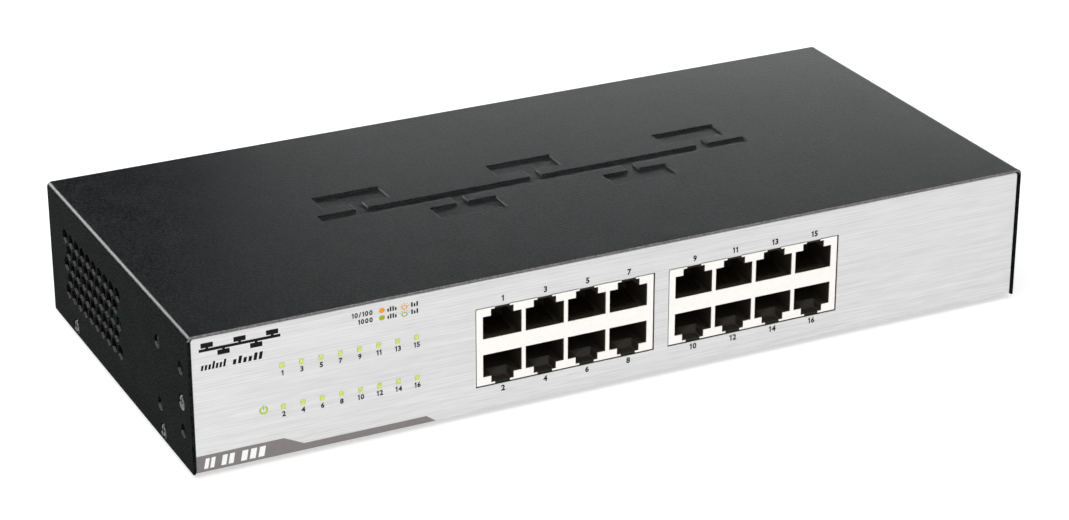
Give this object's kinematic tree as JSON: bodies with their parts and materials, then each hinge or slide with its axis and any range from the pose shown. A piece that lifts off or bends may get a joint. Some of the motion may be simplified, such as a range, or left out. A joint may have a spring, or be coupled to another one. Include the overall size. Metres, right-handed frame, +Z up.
{
  "type": "network switch",
  "caption": "Flat folded-steel desktop network switch with blocks of modular sockets, rows of port lamps, vented sides and a rear mains inlet.",
  "frame": {"origin": "middle of the footprint, on the surface under the feet", "axes": "+X to the right seen from the front, +Y to the back, +Z up; the sockets face -Y"},
  "size_m": [0.28, 0.126, 0.045],
  "materials": {
    "black_coat": "fine textured powder coat, near black",
    "brushed_front": "brushed along its length, pale silver",
    "black_screw": "black zinc",
    "zinc_plate": "bright zinc plate",
    "rubber_black": "matte",
    "label_grey": "blank film label",
    "light_guide": "clear acrylic lit yellow-green",
    "power_guide": "clear acrylic lit green",
    "nickel_shield": "satin nickel plate",
    "socket_black": "moulded",
    "gold_plate": "gold flash",
    "board_green": "solder mask",
    "board_tan": "bare laminate",
    "lamp_body": "moulded lamp",
    "chip_black": "moulded epoxy",
    "heatsink_dark": "black anodised",
    "heatsink_plain": "mill finish",
    "ferrite": "sintered ferrite",
    "capacitor_sleeve": "shrink sleeve",
    "crystal_can": "drawn can",
    "connector_white": "moulded nylon",
    "wire_red": "wire insulation",
    "wire_black": "wire insulation",
    "wire_brown": "wire insulation",
    "wire_blue": "wire insulation",
    "wire_green": "wire insulation",
    "insulator_film": "translucent film",
    "tape_yellow": "moulded or taped",
    "copper": "enamelled copper wire",
    "fuse_glass": "glass tube",
    "inlet_black": "moulded",
    "pin_nickel": "nickel plated brass"
  },
  "bodies": {
    "root": {"top_cover": "black_coat", "base_tray": "black_coat", "front_overlay": "brushed_front", "cover_side_screws": "black_screw", "bracket_inserts": "zinc_plate", "rubber_feet": "rubber_black", "rating_label": "label_grey", "light_pipe_upper": "light_guide", "light_pipe_lower": "light_guide", "power_light_pipe": "power_guide", "port_shield_left": "nickel_shield", "port_shield_right": "nickel_shield", "port_housing_left": "socket_black", "port_housing_right": "socket_black", "port_contacts_left": "gold_plate", "port_contacts_right": "gold_plate", "main_board": "board_green", "board_standoffs": "zinc_plate", "board_screws": "zinc_plate", "smd_lamps": "lamp_body", "switch_chip": "chip_black", "switch_heatsink": "heatsink_dark", "phy_chips": "chip_black", "phy_heatsinks": "heatsink_dark", "magnetics_modules": "chip_black", "board_inductors": "ferrite", "board_capacitors": "capacitor_sleeve", "clock_crystal": "crystal_can", "memory_chip": "chip_black", "chip_resistors": "chip_black", "dc_header_main": "connector_white", "dc_header_supply": "connector_white", "dc_plugs": "connector_white", "dc_wires_red": "wire_red", "dc_wires_black": "wire_black", "supply_board": "board_tan", "supply_insulator": "insulator_film", "supply_standoffs": "zinc_plate", "supply_screws": "zinc_plate", "transformer_core": "ferrite", "transformer_bobbin": "tape_yellow", "bulk_capacitor": "capacitor_sleeve", "output_capacitors": "capacitor_sleeve", "supply_heatsinks": "heatsink_plain", "supply_transistors": "chip_black", "bridge_rectifier": "chip_black", "choke_core": "ferrite", "choke_windings": "copper", "filter_capacitor": "tape_yellow", "fuse": "fuse_glass", "ac_header": "connector_white", "ac_plug": "connector_white", "inlet_wire_live": "wire_brown", "inlet_wire_neutral": "wire_blue", "inlet_wire_earth": "wire_green", "inlet_sleeves": "insulator_film", "inlet_body": "inlet_black", "inlet_pins": "pin_nickel", "inlet_screws": "zinc_plate", "earth_screw": "zinc_plate"}
  },
  "joints": []
}
